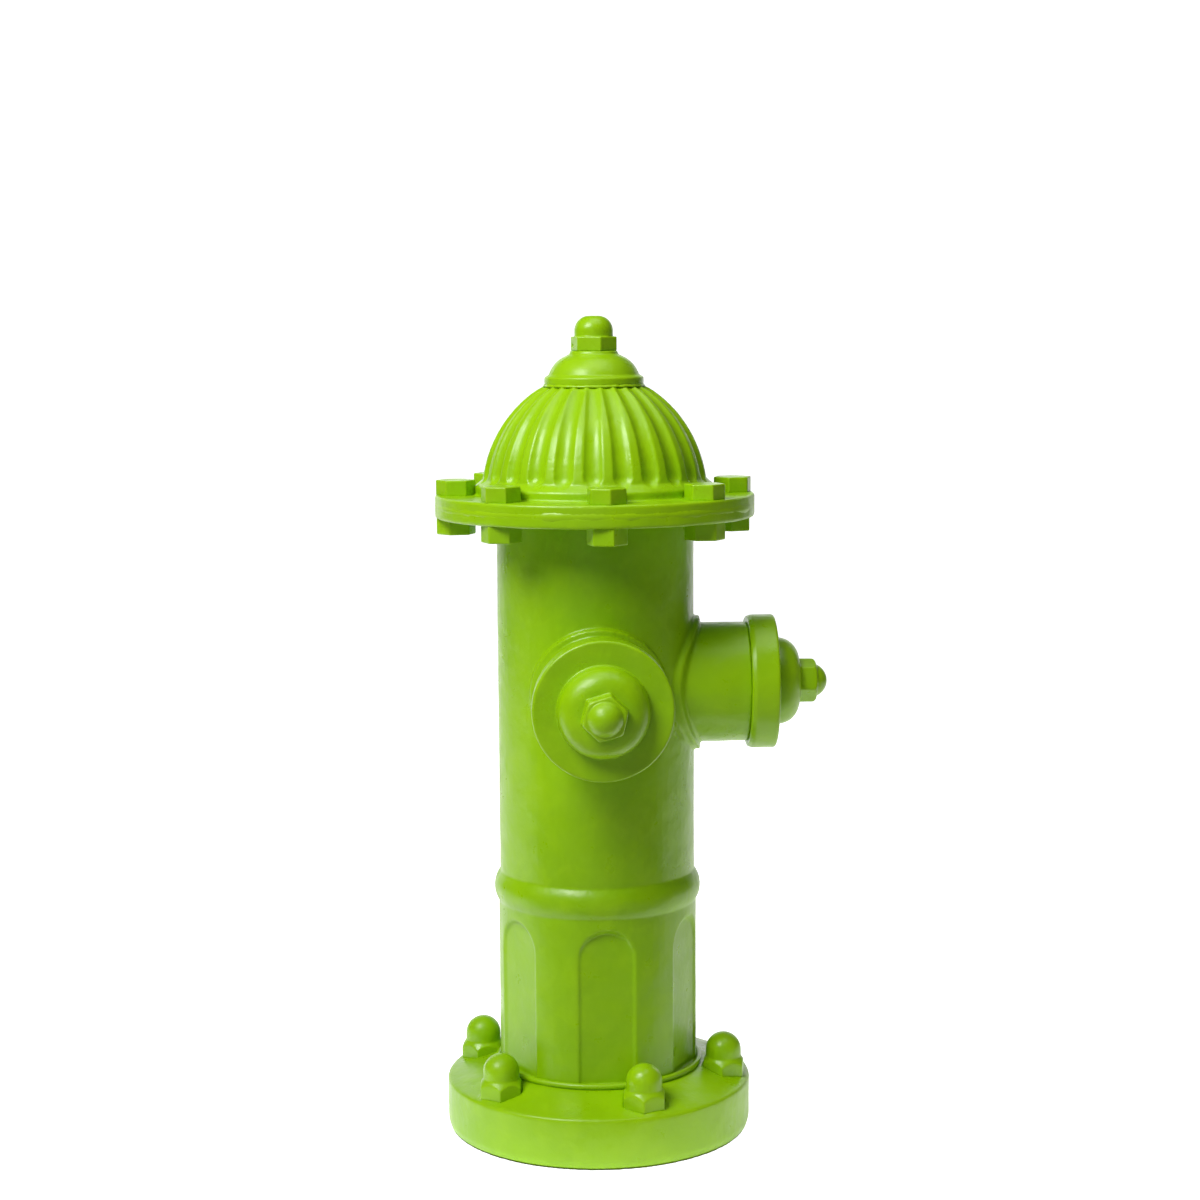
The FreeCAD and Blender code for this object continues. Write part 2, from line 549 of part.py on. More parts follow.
def make_packing():
    """Plate that shuts the wet barrel off from the dry bonnet, with the stem's seals."""
    outer = "seat_recess_radius - casting_gap"
    low = "joint_height - gasket_thickness"
    keep(turned("bonnet_gasket", [
        ("bore_radius + 1", low), (outer, low), (outer, "packing_low"), ("bore_radius + 1", "packing_low")]),
         "bonnet_gasket")
    bore = "stem_radius + running_fit"
    groove = "stem_radius + stem_groove"
    rim = "seat_recess_radius - 0.5"
    top = "packing_low + packing_thickness"
    hub = "packing_low + packing_hub"
    disc = turned("packing_disc", [
        (bore, "packing_low"), (rim, "packing_low"), (rim, top), ("hub_radius + 2", top), ("hub_radius", hub),
        (groove, hub), (groove, f"{hub} - 3"), (bore, f"{hub} - 3"), (bore, top), (groove, top),
        (groove, f"{top} - stem_groove"), (bore, f"{top} - stem_groove")])
    screws = hole_ring("guide_screw_hole", spread(GUIDE_SCREWS, 45), "guide_circle", "guide_screw_radius",
                       "packing_low - 1", "packing_low + 8")
    keep(cut("packing_plate", disc, fused("guide_screw_holes", screws)), "packing_plate")
    keep(turned("packing_gasket", [
        ("bonnet_bore_radius", top), (outer, top), (outer, "flange_top + 0.8"),
        ("bonnet_bore_radius", "flange_top + 0.8")]), "packing_gasket")
    rings = []
    for i, level in enumerate(("packing_thickness - stem_groove / 2", "packing_hub - 1.4")):
        ring = doc.addObject("Part::Torus", f"stem_ring_{i}")
        bind(ring, Radius1="stem_radius + 1.75", Radius2="stem_groove / 2 - 0.1")
        rings.append(place(ring, z=f"packing_low + {level}"))
    keep(group("stem_seals", rings), "stem_seals")


def stem_section(name, clearance, length):
    """Round bar with four milled flats."""
    bar = cylinder(f"{name}_round", f"stem_radius + {clearance}", length)
    square = bind(doc.addObject("Part::Box", f"{name}_square"), Length=f"stem_flats + 2 * {clearance}",
                  Width=f"stem_flats + 2 * {clearance}", Height=length)
    half = f"0 - stem_flats / 2 - {clearance}"
    place(square, half, half)
    return common(name, [bar, square])


def make_stem_guide():
    """Cup hung under the packing plate; its shaped eye keeps the stem from turning."""
    low = "packing_low - guide_depth"
    under = "packing_low - guide_flange"
    cup = turned("guide_cup", [
        ("0", low), ("guide_radius - 4", low), ("guide_radius", f"{low} + 4"), ("guide_radius", under),
        ("guide_flange_radius", under), ("guide_flange_radius", "packing_low"),
        ("guide_radius - guide_wall", "packing_low"), ("guide_radius - guide_wall", f"{low} + guide_floor"),
        ("0", f"{low} + guide_floor")])
    eye = place(stem_section("guide_eye", "running_fit", "guide_floor + 4"), z=f"{low} - 2")
    holes = hole_ring("guide_hole", spread(GUIDE_SCREWS, 45), "guide_circle",
                      "guide_screw_radius + fixed_fit", f"{under} - 1", "packing_low + 1")
    keep(cut("stem_guide", cup, fused("guide_cuts", [eye] + holes)), "stem_guide")
    screws = []
    for i, angle in enumerate(spread(GUIDE_SCREWS, 45)):
        head = place(hexagon(f"guide_head_{i}", "13", "5"), z=f"{under} - 5")
        shank = place(cylinder(f"guide_shank_{i}", "guide_screw_radius", "guide_flange + 7.5"),
                      z=f"{under} - 0.5")
        screws.append(on_circle(fused(f"guide_screw_{i}", [head, shank]), "guide_circle", angle))
    keep(group("guide_screws", screws), "guide_screws")


# --- operating gear ---------------------------------------------------------------

def make_bell():
    """Hold-down nut, whose bell-shaped head also keeps rain off the gear."""
    bore = "shank_radius + running_fit"
    thread = "bell_thread_radius - running_fit"
    ceiling = "socket_floor + 2 * washer_thickness + collar_thickness + 0.1"
    groove_top = "nut_seat - 6"
    groove_low = "nut_seat - 9.8"
    keep(turned("hold_down_nut", [
        (thread, "socket_floor + 0.5"), (thread, "dome_top + 0.1"),
        ("bell_radius - 1", "dome_top + 0.1"), ("bell_radius", "dome_top + 1.1"),
        ("bell_radius", "dome_top + 7.5"), ("bell_shoulder", "dome_top + 9.8", "bell_curve"),
        ("bell_shoulder - 14.5", "nut_seat - 5.4"),
        ("22.4", "nut_seat - 3.2"), ("21.5", "nut_seat - 0.4"),
        (bore, "nut_seat - 0.4"), (bore, groove_top), ("weather_groove_radius", groove_top),
        ("weather_groove_radius", groove_low), (bore, groove_low), (bore, ceiling),
        ("thrust_radius + 1", ceiling), ("thrust_radius + 1", "socket_floor + 0.5")]), "hold_down_nut")
    ring = doc.addObject("Part::Torus", "weather_seal")
    bind(ring, Radius1="(shank_radius + weather_groove_radius) / 2 + 0.05", Radius2="1.85")
    keep(place(ring, z="nut_seat - 7.9"), "weather_seal")
    levels = {"lower_thrust_washer": ("sleeve_radius + 0.5", "0"),
              "upper_thrust_washer": ("shank_radius + 0.4", "washer_thickness + collar_thickness + 0.1")}
    for name, (inner, low) in levels.items():
        thick = "washer_thickness - 0.1"
        washer = turned(name, [(inner, "0"), ("thrust_radius + 0.5", "0"), ("thrust_radius + 0.5", thick),
                               (inner, thick)])
        keep(place(washer, z=f"socket_floor + {low}"), name)


def cross_pin(name, radius, length, height):
    """Pin or hole across the axis, along X."""
    pin = cylinder(name, radius, length)
    return place(pin, f"0 - ({length}) / 2", "0", height, FreeCAD.Rotation(FreeCAD.Vector(0, 1, 0), 90))


def make_operating_nut():
    top = "nut_seat + nut_hex_height"
    bore = "spigot_radius + running_fit"
    floor = "nut_seat + spigot_length + 0.1"
    turning = turned("nut_dome", [
        ("0", floor), (bore, floor), (bore, "nut_seat"), ("nut_dome_radius + 0.5", "nut_seat"),
        ("nut_dome_radius + 0.5", top), ("nut_dome_radius", top),
        ("nut_dome_radius", "total_height - 13", "13.5"), ("nut_dome_radius - 11.5", "total_height"),
        ("0", "total_height")])
    blank = place(hexagon("nut_hex", "nut_across_flats", "nut_hex_height"), z="nut_seat",
                  rotation=turn_z(OPERATING_NUT_TURN))
    socket = place(cylinder("nut_socket", bore, "spigot_length + 0.1"), z="nut_seat")
    pin_height = "nut_seat + drive_pin_height"
    drill_length = "2 * nut_across_flats"
    cross = cross_pin("nut_pin_hole", "drive_pin_radius + fixed_fit", drill_length, pin_height)
    solid = fused("nut_solid", [turning, cut("nut_hex_ring", blank, socket)])
    keep(cut("operating_nut", solid, cross), "operating_nut")
    bore = "stem_thread_radius + running_fit"
    collar_low = "socket_floor + washer_thickness"
    sleeve = turned("stem_nut_turning", [
        (bore, "sleeve_low"), ("sleeve_radius", "sleeve_low"), ("sleeve_radius", collar_low),
        ("thrust_radius", collar_low), ("thrust_radius", f"{collar_low} + collar_thickness"),
        ("shank_radius", f"{collar_low} + collar_thickness"), ("shank_radius", "nut_seat - 0.2"),
        ("spigot_radius", "nut_seat - 0.2"), ("spigot_radius", "nut_seat + spigot_length"),
        (bore, "nut_seat + spigot_length")])
    drill = cross_pin("sleeve_pin_hole", "drive_pin_radius + fixed_fit", drill_length, pin_height)
    keep(cut("stem_nut", sleeve, drill), "stem_nut")
    keep(cross_pin("drive_pin", "drive_pin_radius", "nut_across_flats - 0.8", pin_height), "drive_pin")


def make_stem():
    """Two-piece stem, joined by a pinned coupling above the valve."""
    shoulder = "seat_top + valve_thickness + 28"
    lower = turned("lower_stem_turning", [
        ("0", "stem_low"), ("stem_foot_radius", "stem_low"), ("stem_foot_radius", shoulder),
        ("stem_radius", shoulder), ("stem_radius", "stem_split - 0.5"), ("0", "stem_split - 0.5")])
    top = "socket_floor + 28"
    bar = turned("upper_stem_turning", [
        ("0", "stem_split + 0.5"), ("stem_radius", "stem_split + 0.5"), ("stem_radius", "flange_top + 14"),
        ("stem_thread_radius", "flange_top + 17"), ("stem_thread_radius", f"{top} - 2"),
        ("stem_thread_radius - 2", top), ("0", top)])
    beyond = "stem_radius + 3"
    ring = turned("flats_ring", [
        ("0.01", "flats_low"), (beyond, "flats_low"), (beyond, "flats_high"), ("0.01", "flats_high")])
    square = bind(doc.addObject("Part::Box", "flats_square"), Length="stem_flats", Width="stem_flats",
                  Height="flats_high - flats_low + 20")
    place(square, "0 - stem_flats / 2", "0 - stem_flats / 2", "flats_low - 10")
    milled = cut("upper_stem_milled", bar, cut("flats_waste", ring, square))
    halves = {"lower_stem": (lower, "0 - coupling_pin_offset"), "upper_stem": (milled, "coupling_pin_offset")}
    pin_hole = "coupling_pin_radius + fixed_fit"
    drills = []
    pins = []
    for name, (turning, offset) in halves.items():
        height = f"stem_split + {offset}"
        hole = cross_pin(f"{name}_hole", pin_hole, "4 * coupling_radius", height)
        keep(cut(name, turning, hole), name)
        drills.append(cross_pin(f"{name}_drill", pin_hole, "4 * coupling_radius", height))
        pins.append(cross_pin(f"{name}_pin", "coupling_pin_radius", "2 * coupling_radius - 1", height))
    bore = "stem_radius + fixed_fit"
    low = "stem_split - coupling_half"
    high = "stem_split + coupling_half"
    sleeve = turned("coupling_turning", [
        (bore, low), ("coupling_radius - 2", low), ("coupling_radius", f"{low} + 2"),
        ("coupling_radius", f"{high} - 2"), ("coupling_radius - 2", high), (bore, high)])
    keep(cut("stem_coupling", sleeve, fused("coupling_drills", drills)), "stem_coupling")
    keep(group("coupling_pins", pins), "coupling_pins")
    blank = hexagon("stop_blank", "30", "12")
    hole = place(cylinder("stop_bore", "stem_thread_radius + fixed_fit", "14"), z="-1")
    keep(place(cut("travel_stop_nut", blank, hole), z="sleeve_low - stem_lift - 12.5"), "travel_stop_nut")


def make_valve():
    keep(turned("seat_ring", [
        ("seat_bore_radius", "6.2"), ("seat_thread_radius", "6.2"), ("seat_thread_radius", "plate_thickness"),
        ("seat_thread_radius + 6", "plate_thickness"), ("seat_thread_radius + 6", "seat_top - 5"),
        ("valve_radius - 1", "seat_top - 2"), ("valve_radius - 4", "seat_top"),
        ("seat_bore_radius + 2", "seat_top"), ("seat_bore_radius", "seat_top - 2")]), "seat_ring")
    ring = doc.addObject("Part::Torus", "seat_ring_seal")
    bind(ring, Radius1="seat_thread_radius + 2.25", Radius2="1.65")
    keep(place(ring, z="plate_thickness - 1.7"), "seat_ring_seal")
    hub = "stem_foot_radius + 0.05"
    disc = [(hub, "0"), ("valve_radius - 1.5", "0"), ("valve_radius", "1.5"),
            ("valve_radius", "valve_thickness"), (hub, "valve_thickness")]
    keep(place(turned("main_valve_disc", disc), z="seat_top + 0.1"), "main_valve_disc")
    upper = [(hub, "0"), ("valve_radius - 2", "0"), ("valve_radius - 2", "5"), ("24", "14"), ("22", "27.8"),
             (hub, "27.8")]
    keep(place(turned("valve_upper_plate", upper), z="seat_top + valve_thickness + 0.1"), "valve_upper_plate")
    lower = [(hub, "2"), ("20", "0"), ("36", "4"), ("seat_bore_radius - 2", "9"),
             ("seat_bore_radius - 2", "12"), (hub, "12")]
    keep(place(turned("valve_lower_plate", lower), z="seat_top - 11.9"), "valve_lower_plate")
    blank = hexagon("valve_nut_blank", "38", "13")
    bore = place(cylinder("valve_nut_bore", hub, "15"), z="-1")
    keep(place(cut("valve_nut", blank, bore), z="seat_top - 24.9"), "valve_nut")


make_base_plate()
make_foot_flange()
make_foot_fasteners()
make_foot_seals()
make_barrel()
make_barrel_flange()
make_necks()
make_nozzle_bodies()
make_caps()
make_bonnet()
make_bonnet_fasteners()
make_packing()
make_stem_guide()
make_bell()
make_operating_nut()
make_stem()
make_valve()

doc.recompute()
for item in doc.Objects:
    if "Invalid" in item.State or "Error" in item.State:
        raise RuntimeError(f"{item.Label} did not build: {item.State}")
os.makedirs("parts", exist_ok=True)
for item in nodes:
    if item.Shape.isNull() or not item.Shape.isValid():
        raise RuntimeError(f"{item.Label} has no valid shape")
    item.Shape.exportStep(f"parts/{item.Label}.step")
    print(f"{item.Label:22s} solids {len(item.Shape.Solids):2d}  volume {item.Shape.Volume / 1000:9.1f} cm3")
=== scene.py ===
import json
import math

import bmesh
import bpy
from mathutils import Matrix, Vector


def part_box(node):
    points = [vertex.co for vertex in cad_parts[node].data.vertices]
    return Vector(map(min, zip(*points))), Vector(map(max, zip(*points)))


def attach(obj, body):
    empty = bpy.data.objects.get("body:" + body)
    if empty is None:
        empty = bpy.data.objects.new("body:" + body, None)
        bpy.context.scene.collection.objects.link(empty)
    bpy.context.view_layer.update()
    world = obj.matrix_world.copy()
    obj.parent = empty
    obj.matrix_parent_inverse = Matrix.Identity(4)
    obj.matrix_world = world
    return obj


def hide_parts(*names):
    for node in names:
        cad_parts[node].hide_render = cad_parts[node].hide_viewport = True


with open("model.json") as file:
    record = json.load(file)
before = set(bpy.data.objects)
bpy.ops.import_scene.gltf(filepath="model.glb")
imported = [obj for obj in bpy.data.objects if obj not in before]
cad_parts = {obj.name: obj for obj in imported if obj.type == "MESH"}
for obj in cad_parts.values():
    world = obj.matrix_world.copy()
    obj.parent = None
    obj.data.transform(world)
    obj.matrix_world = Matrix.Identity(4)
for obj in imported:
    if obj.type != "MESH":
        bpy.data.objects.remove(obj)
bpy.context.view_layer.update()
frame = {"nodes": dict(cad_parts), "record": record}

NODES = frame["nodes"]
RECORD = frame["record"]
MM = 0.001

# Camera: where the picture was taken from, round the hydrant's axis.
CAMERA_DISTANCE = 2.207
CAMERA_HEIGHT = 0.7635
CAMERA_AZIMUTH = math.radians(-2.2)
CAMERA_TILT = math.radians(6.83)
CAMERA_YAW = math.radians(-0.11)
CAMERA_ROLL = math.radians(-0.38)
CAMERA_LENS = 71.57
SENSOR_WIDTH = 36

# Height on the hydrant's axis that the lights point at.
LIT_HEIGHT = 0.42

# Thickness of the paint over the castings, and the swell of the rough iron below it.
PAINT_FILM = 0.3 * MM
IRON_SWELL = 0.55 * MM

# The barrel, its flange and its necks are one iron casting: the nodes it is held in, how much each grows
# to run into the next, and the voxel size and smoothing passes of the whole.
CASTING = ("barrel", "barrel_flange", "neck_front", "neck_right", "neck_rear")
JOINING_GROWTH = 0.1 * MM
CASTING_VOXEL = 1.35 * MM
CASTING_PASSES = 2

LIME = (0.295, 0.55, 0.0, 1.0)
LIME_DEEP = (0.235, 0.465, 0.0, 1.0)
LIME_PALE = (0.34, 0.59, 0.002, 1.0)


# --- node helpers ---------------------------------------------------------------

class Tree:
    """A material's node tree with short calls for the nodes used here."""

    def __init__(self, name):
        self.material = bpy.data.materials.new(name)
        self.material.use_nodes = True
        self.nodes = self.material.node_tree.nodes
        self.links = self.material.node_tree.links
        self.shader = self.nodes["Principled BSDF"]
        self.place = self.nodes.new("ShaderNodeTexCoord").outputs["Object"]

    def link(self, source, target):
        self.links.new(source, target)

    def stretched(self, scale):
        mapping = self.nodes.new("ShaderNodeMapping")
        mapping.inputs["Scale"].default_value = scale
        self.link(self.place, mapping.inputs["Vector"])
        return mapping.outputs["Vector"]

    def noise(self, scale, detail=3.0, roughness=0.5, distortion=0.0, vector=None):
        node = self.nodes.new("ShaderNodeTexNoise")
        node.inputs["Scale"].default_value = scale
        node.inputs["Detail"].default_value = detail
        node.inputs["Roughness"].default_value = roughness
        node.inputs["Distortion"].default_value = distortion
        self.link(vector or self.place, node.inputs["Vector"])
        return node.outputs["Fac"]

    def cells(self, scale):
        node = self.nodes.new("ShaderNodeTexVoronoi")
        node.inputs["Scale"].default_value = scale
        self.link(self.place, node.inputs["Vector"])
        return node.outputs["Distance"]

    def remap(self, value, low, high, to_low=0.0, to_high=1.0):
        node = self.nodes.new("ShaderNodeMapRange")
        node.interpolation_type = "SMOOTHSTEP"
        self.link(value, node.inputs["Value"])
        for name, number in (("From Min", low), ("From Max", high), ("To Min", to_low), ("To Max", to_high)):
            node.inputs[name].default_value = number
        return node.outputs["Result"]

    def math(self, operation, a, b):
        node = self.nodes.new("ShaderNodeMath")
        node.operation = operation
        for socket, item in zip(node.inputs, (a, b)):
            if isinstance(item, (int, float)):
                socket.default_value = item
            else:
                self.link(item, socket)
        return node.outputs[0]

    def mix(self, factor, a, b, blend="MIX"):
        node = self.nodes.new("ShaderNodeMix")
        node.data_type = "RGBA"
        node.blend_type = blend
        for socket, item in zip((node.inputs[0], node.inputs[6], node.inputs[7]), (factor, a, b)):
            if isinstance(item, (int, float, tuple)):
                socket.default_value = item
            else:
                self.link(item, socket)
        return node.outputs[2]

    def bump(self, height, depth, after=None):
        node = self.nodes.new("ShaderNodeBump")
        node.inputs["Distance"].default_value = depth
        node.inputs["Strength"].default_value = 1.0
        self.link(height, node.inputs["Height"])
        if after:
            self.link(after, node.inputs["Normal"])
        return node.outputs["Normal"]

    def edges(self):
        """Convexity of the surface: above a half on edges, below it in corners."""
        return self.nodes.new("ShaderNodeNewGeometry").outputs["Pointiness"]

    def set(self, **inputs):
        for name, item in inputs.items():
            socket = self.shader.inputs[name.replace("_", " ")]
            if isinstance(item, (int, float, tuple)):
                socket.default_value = item
            else:
                self.link(item, socket)
        return self.material


# --- materials ------------------------------------------------------------------

def lime_paint():
    """Thick satin enamel brushed over a rough casting."""
    t = Tree("lime_paint")
    drift = t.remap(t.noise(5.5, 4, 0.55), 0.3, 0.7)
    colour = t.mix(drift, LIME_DEEP, LIME)
    blotches = t.remap(t.noise(38, 5, 0.6, 0.6), 0.42, 0.72, 0.0, 0.35)
    colour = t.mix(blotches, colour, LIME_PALE)
    # Painted highlight: convex edges are made paler, as if light caught them.
    painted_edge_highlight = t.remap(t.edges(), 0.505, 0.56, 0.0, 0.4)
    colour = t.mix(painted_edge_highlight, colour, LIME_PALE)
    # Painted shade: corners and hollows are made darker, as if shade fell in them.
    painted_crevice_shade = t.remap(t.edges(), 0.40, 0.495, 0.55, 0.0)
    colour = t.mix(painted_crevice_shade, colour, LIME_DEEP)
    lumps = t.bump(t.noise(26, 3, 0.45), 1.6 * MM)
    swirl = t.bump(t.noise(90, 3, 0.5, 0.4), 0.35 * MM, lumps)
    peel = t.bump(t.noise(620, 2, 0.5), 0.05 * MM, swirl)
    holes = t.remap(t.cells(75), 0.0, 0.05, 0.0, 1.0)
    chosen = t.remap(t.noise(17, 2), 0.60, 0.66, 0.0, 1.0)
    pits = t.math("ADD", holes, t.math("SUBTRACT", 1.0, chosen))
    pits = t.bump(t.math("MINIMUM", pits, 1.0), 0.5 * MM, peel)
    rough = t.remap(t.noise(45, 4, 0.6), 0.3, 0.7, 0.27, 0.38)
    return t.set(Base_Color=colour, Roughness=rough, Normal=pits, Specular_IOR_Level=0.42)


def bronze():
    t = Tree("bronze")
    tone = t.mix(t.remap(t.noise(60, 4), 0.3, 0.7), (0.62, 0.40, 0.17, 1), (0.78, 0.55, 0.27, 1))
    tarnish = t.remap(t.noise(22, 5, 0.65, 0.8), 0.5, 0.75, 0.0, 0.6)
    tone = t.mix(tarnish, tone, (0.22, 0.14, 0.07, 1))
    turning = t.bump(t.noise(900, 2, 0.4), 0.03 * MM)
    rough = t.remap(t.noise(120, 3), 0.3, 0.7, 0.22, 0.42)
    return t.set(Base_Color=tone, Metallic=1.0, Roughness=rough, Normal=turning)


def rubber():
    t = Tree("rubber")
    tone = t.mix(t.remap(t.noise(80, 4), 0.35, 0.7), (0.018, 0.018, 0.019, 1), (0.05, 0.049, 0.047, 1))
    grain = t.bump(t.noise(1200, 2, 0.6), 0.05 * MM)
    rough = t.remap(t.noise(150, 3), 0.3, 0.7, 0.55, 0.8)
    return t.set(Base_Color=tone, Roughness=rough, Normal=grain)


def dipped_iron():
    t = Tree("dipped_iron")
    tone = t.mix(t.remap(t.noise(30, 5, 0.6), 0.35, 0.7), (0.022, 0.021, 0.02, 1), (0.065, 0.06, 0.055, 1))
    rust = t.remap(t.noise(18, 6, 0.7, 1.0), 0.6, 0.72, 0.0, 0.8)
    tone = t.mix(rust, tone, (0.16, 0.06, 0.022, 1))
    lumps = t.bump(t.noise(70, 5, 0.6), 0.7 * MM)
    grain = t.bump(t.noise(700, 3, 0.6), 0.12 * MM, lumps)
    rough = t.remap(t.noise(60, 4), 0.3, 0.7, 0.45, 0.75)
    return t.set(Base_Color=tone, Roughness=rough, Normal=grain)


def turned_steel():
    t = Tree("turned_steel")
    rings = t.noise(40, 2, 0.5, vector=t.stretched((0.2, 0.2, 60)))
    tone = t.mix(rings, (0.42, 0.42, 0.41, 1), (0.62, 0.62, 0.61, 1))
    stain = t.remap(t.noise(25, 4, 0.6), 0.55, 0.75, 0.0, 0.5)
    tone = t.mix(stain, tone, (0.2, 0.16, 0.12, 1))
    turning = t.bump(rings, 0.03 * MM)
    rough = t.remap(t.noise(90, 3), 0.3, 0.7, 0.22, 0.4)
    return t.set(Base_Color=tone, Metallic=1.0, Roughness=rough, Normal=turning)


MATERIALS = {"green_paint": lime_paint, "bronze": bronze, "rubber": rubber, "grey_iron": dipped_iron,
             "steel": turned_steel}


# --- castings -------------------------------------------------------------------

def soften(piece, voxel, passes, swell):
    """Round a casting's edges, lay a film of paint over it and make it a little uneven."""
    remesh = piece.modifiers.new("cast", "REMESH")
    remesh.mode = "VOXEL"
    remesh.voxel_size = voxel
    remesh.use_smooth_shade = True
    smooth = piece.modifiers.new("flow", "SMOOTH")
    smooth.factor = 0.5
    smooth.iterations = passes
    coat = piece.modifiers.new("film", "DISPLACE")
    coat.strength = PAINT_FILM
    coat.mid_level = 0.0
    if swell:
        uneven = piece.modifiers.new("uneven", "DISPLACE")
        uneven.texture = sand_mould()
        uneven.texture_coords = "LOCAL"
        uneven.strength = swell
        uneven.mid_level = 0.5


def sand_mould():
    """The slow unevenness that a sand mould leaves in iron."""
    texture = bpy.data.textures.get("sand_mould")
    if not texture:
        texture = bpy.data.textures.new("sand_mould", "CLOUDS")
        texture.noise_scale = 22 * MM
        texture.noise_depth = 2
    return texture


def drips():
    """Short unevenness of paint that has run and set."""
    texture = bpy.data.textures.new("paint_drips", "CLOUDS")
    texture.noise_scale = 5 * MM
    texture.noise_depth = 1
    return texture


def joined(name, nodes):
    """One piece from several nodes, each grown a little so that they run together."""
    whole = bmesh.new()
    for node in nodes:
        part = bmesh.new()
        part.from_mesh(NODES[node].data)
        bmesh.ops.remove_doubles(part, verts=part.verts, dist=0.001 * MM)
        part.normal_update()
        for vert in part.verts:
            vert.co += vert.normal * JOINING_GROWTH
        grown = bpy.data.meshes.new(f"{name}_{node}")
        part.to_mesh(grown)
        part.free()
        whole.from_mesh(grown)
        bpy.data.meshes.remove(grown)
    mesh = bpy.data.meshes.new(name)
    whole.to_mesh(mesh)
    whole.free()
    return placed(name, mesh)


def placed(name, mesh):
    piece = bpy.data.objects.new(name, mesh)
    bpy.context.scene.collection.objects.link(piece)
    return piece


def turned(name, profile, closed, turns=256):
    """A profile of (radius, height) points turned round the hydrant's axis."""
    verts = []
    for i in range(turns):
        angle = 2 * math.pi * i / turns
        verts += [(r * math.cos(angle), r * math.sin(angle), z) for r, z in profile]
    count = len(profile)
    faces = []
    for i in range(turns):
        for k in range(count if closed else count - 1):
            here, after = i * count, (i + 1) % turns * count
            nxt = (k + 1) % count
            faces.append((here + k, after + k, after + nxt, here + nxt))
    mesh = bpy.data.meshes.new(name)
    mesh.from_pydata(verts, [], faces)
    mesh.shade_smooth()
    return placed(name, mesh)


def paint_bead(name, profile):
    """A ring of paint round the axis, where it has run across a joint."""
    bead = turned(name, profile, closed=True)
    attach(bead, "hydrant")
    return bead


def flange_seam(paint):
    """Paint that has filled the joint between the two flanges."""
    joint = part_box("bonnet")[0][2]
    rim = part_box("bonnet")[1][0]
    low, high = rim - 1.5 * MM, rim + PAINT_FILM
    bead = paint_bead("flange_seam_paint", [
        (low, joint - 5.5 * MM), (high - 0.1 * MM, joint - 4 * MM), (high + 0.12 * MM, joint),
        (high - 0.1 * MM, joint + 4 * MM), (low, joint + 5.5 * MM)])
    bead.data.materials.append(paint)


def bell_gunk(paint):
    """Ragged paint that has gathered where the bell sits on the dome."""
    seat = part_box("bonnet")[1][2]
    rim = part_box("hold_down_nut")[1][0]
    bead = paint_bead("bell_seam_paint", [
        (rim - 0.6 * MM, seat - 1.0 * MM), (rim + 1.9 * MM, seat - 0.9 * MM),
        (rim + 1.0 * MM, seat + 0.7 * MM), (rim + 0.2 * MM, seat + 1.6 * MM),
        (rim - 0.6 * MM, seat + 1.0 * MM)])
    ragged = bead.modifiers.new("ragged", "DISPLACE")
    ragged.texture = drips()
    ragged.texture_coords = "LOCAL"
    ragged.strength = 1.4 * MM
    ragged.mid_level = 0.55
    bead.data.materials.append(paint)


# Voxel size, smoothing passes and unevenness of each painted piece.
SOFTENED = {
    "bonnet": (1.1 * MM, 3, 0.3 * MM), "foot_flange": (1.5 * MM, 3, IRON_SWELL),
    "foot_ring": (0.8 * MM, 2, 0.0), "foot_acorn_nuts": (0.8 * MM, 3, 0.2 * MM),
    "bonnet_bolts": (0.7 * MM, 2, 0.2 * MM), "bonnet_nuts": (0.7 * MM, 2, 0.2 * MM),
    "hold_down_nut": (0.8 * MM, 3, 0.2 * MM), "operating_nut": (0.6 * MM, 3, 0.1 * MM),
    "cap_front": (0.9 * MM, 3, 0.3 * MM), "cap_right": (0.9 * MM, 3, 0.3 * MM),
    "cap_rear": (0.9 * MM, 3, 0.3 * MM),
}


def dress_nodes():
    slots = {part["node"]: part["material_slot"] for part in RECORD["subparts"]}
    made = {slot: make() for slot, make in MATERIALS.items()}
    for name, piece in NODES.items():
        piece.data.materials.clear()
        piece.data.materials.append(made[slots[name]])
    for name, (voxel, passes, swell) in SOFTENED.items():
        soften(NODES[name], voxel, passes, swell)
    paint = made["green_paint"]
    casting = joined("barrel_casting", CASTING)
    casting.data.materials.append(paint)
    soften(casting, CASTING_VOXEL, CASTING_PASSES, IRON_SWELL)
    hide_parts(*CASTING)
    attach(casting, "hydrant")
    flange_seam(paint)
    bell_gunk(paint)


# --- studio ---------------------------------------------------------------------

def stage_white(sheet, glow):
    """Make a sheet of the studio white, with a glow of its own."""
    t = Tree(f"{sheet.name}_white")
    tone = t.mix(t.noise(3, 3), (0.86, 0.86, 0.86, 1), (0.88, 0.88, 0.88, 1))
    sheet.data.materials.append(t.set(Base_Color=tone, Roughness=0.9, Emission_Color=(1.0, 1.0, 1.0, 1.0),
                                      Emission_Strength=glow, Specular_IOR_Level=0.1))


def studio_floor():
    """White floor that curves up into a wall all round the hydrant. Only the camera sees it."""
    hub, bend, radius, height, steps = 0.05, 3.4, 1.2, 4.0, 24
    profile = [(hub, 0.0), (bend, 0.0)]
    for i in range(1, steps + 1):
        angle = math.pi / 2 * i / steps
        profile.append((bend + radius * math.sin(angle), radius * (1 - math.cos(angle))))
    profile.append((bend + radius, height))
    sweep = turned("studio_sweep", profile, closed=False)
    stage_white(sweep, 1.0)
    sweep.visible_glossy = False
    sweep.visible_diffuse = False
    sweep.visible_shadow = False


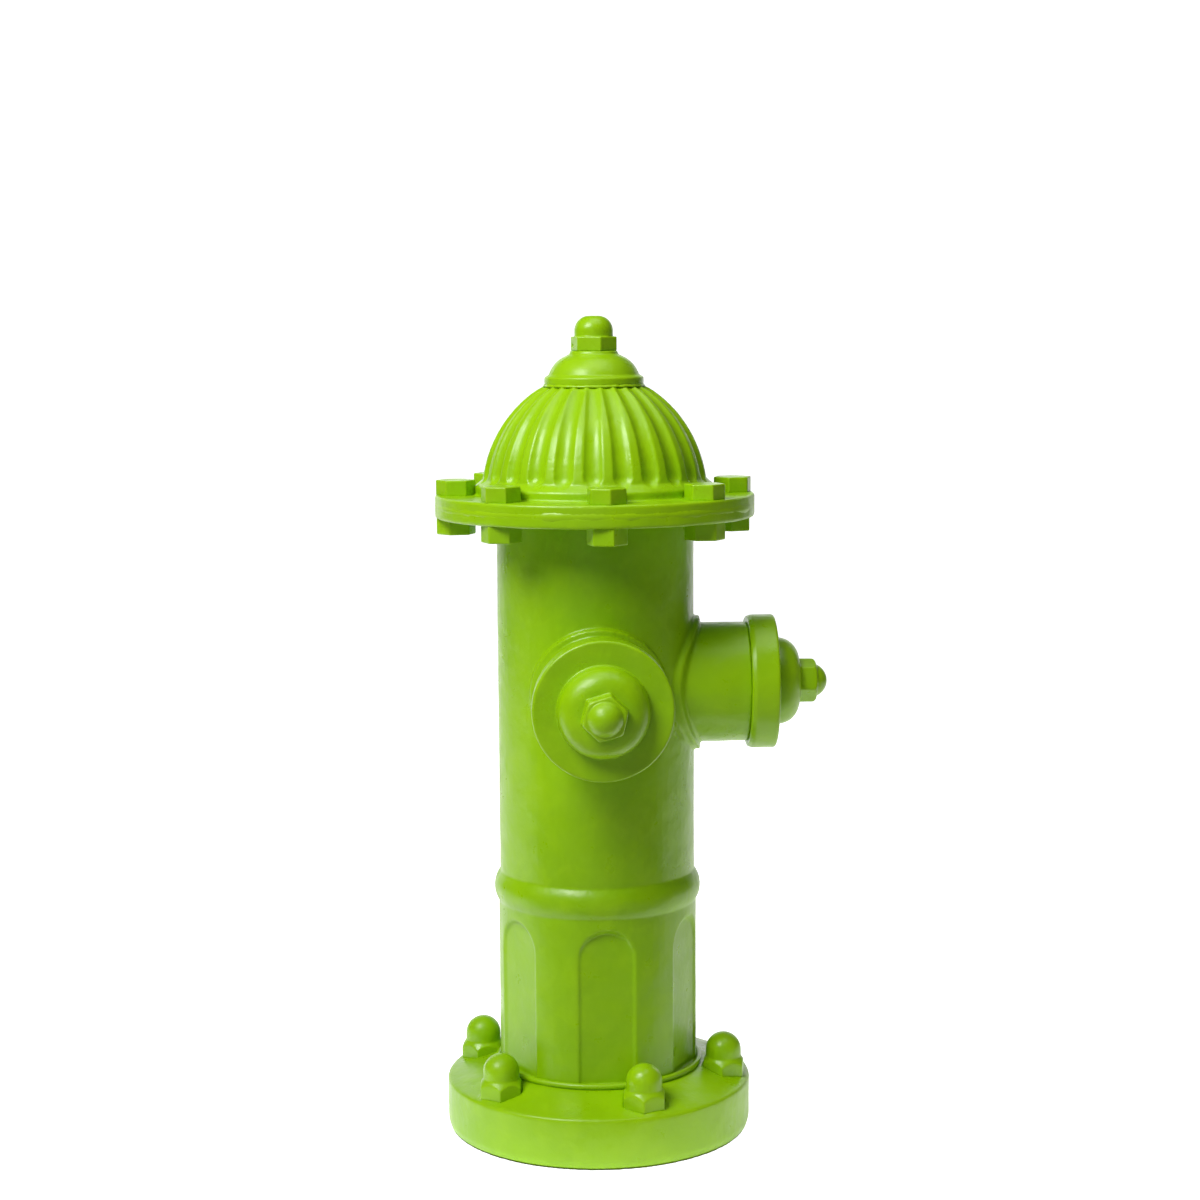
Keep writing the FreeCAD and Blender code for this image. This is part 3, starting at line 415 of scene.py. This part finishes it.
def rear_reflector():
    """What the hydrant's sides mirror: the rear of the floor and the wall behind it.

    Its front faces the dark side of the room, so it mirrors nothing bright there."""
    half_width, near, far, height = 2.2, -0.22, 2.4, 1.8
    rows = [(near, 2 * MM), (far, 2 * MM), (far, height)]
    verts = [(side * half_width, y, z) for y, z in rows for side in (-1, 1)]
    mesh = bpy.data.meshes.new("rear_reflector")
    mesh.from_pydata(verts, [], [(0, 1, 3, 2), (2, 3, 5, 4)])
    mesh.shade_smooth()
    sheet = placed("rear_reflector", mesh)
    stage_white(sheet, 0.75)
    sheet.visible_camera = False


def area_light(name, place, target, size, power):
    lamp = bpy.data.lights.new(name, "AREA")
    lamp.shape = "RECTANGLE"
    lamp.size, lamp.size_y = size
    lamp.energy = power
    holder = bpy.data.objects.new(name, lamp)
    holder.location = place
    holder.rotation_euler = (Vector(target) - Vector(place)).to_track_quat("-Z", "Y").to_euler()
    bpy.context.scene.collection.objects.link(holder)
    return holder


def studio_lights():
    middle = (0, 0, LIT_HEIGHT)
    # Places and sizes in metres, power in watts.
    area_light("key_light", (-1.25, -1.35, 2.3), middle, (1.2, 1.2), 66)
    area_light("top_light", (0.15, -0.35, 2.6), middle, (1.5, 1.5), 14)
    bounce = area_light("floor_bounce", (-0.1, -1.2, 0.01), (-0.1, -1.2, 1.0), (3.0, 1.9), 8.5)
    fill = area_light("front_fill", (-0.5, -2.55, 0.75), middle, (1.6, 1.2), 3)
    bounce.visible_glossy = fill.visible_glossy = False
    world = bpy.data.worlds.new("studio")
    world.use_nodes = True
    world.node_tree.nodes["Background"].inputs["Color"].default_value = (0.06, 0.06, 0.06, 1)
    bpy.context.scene.world = world


def studio_camera():
    data = bpy.data.cameras.new("camera")
    data.lens = CAMERA_LENS
    data.sensor_width = SENSOR_WIDTH
    camera = bpy.data.objects.new("camera", data)
    place = Vector((CAMERA_DISTANCE * math.sin(CAMERA_AZIMUTH), -CAMERA_DISTANCE * math.cos(CAMERA_AZIMUTH),
                    CAMERA_HEIGHT))
    heading = Matrix.Rotation(CAMERA_AZIMUTH + CAMERA_YAW, 4, "Z")
    tilt = Matrix.Rotation(math.pi / 2 - CAMERA_TILT, 4, "X")
    roll = Matrix.Rotation(CAMERA_ROLL, 4, "Z")
    camera.matrix_world = Matrix.Translation(place) @ heading @ tilt @ roll
    bpy.context.scene.collection.objects.link(camera)
    bpy.context.scene.camera = camera


studio_camera()
studio_lights()
studio_floor()
rear_reflector()
dress_nodes()
bpy.context.scene.view_settings.view_transform = "Standard"
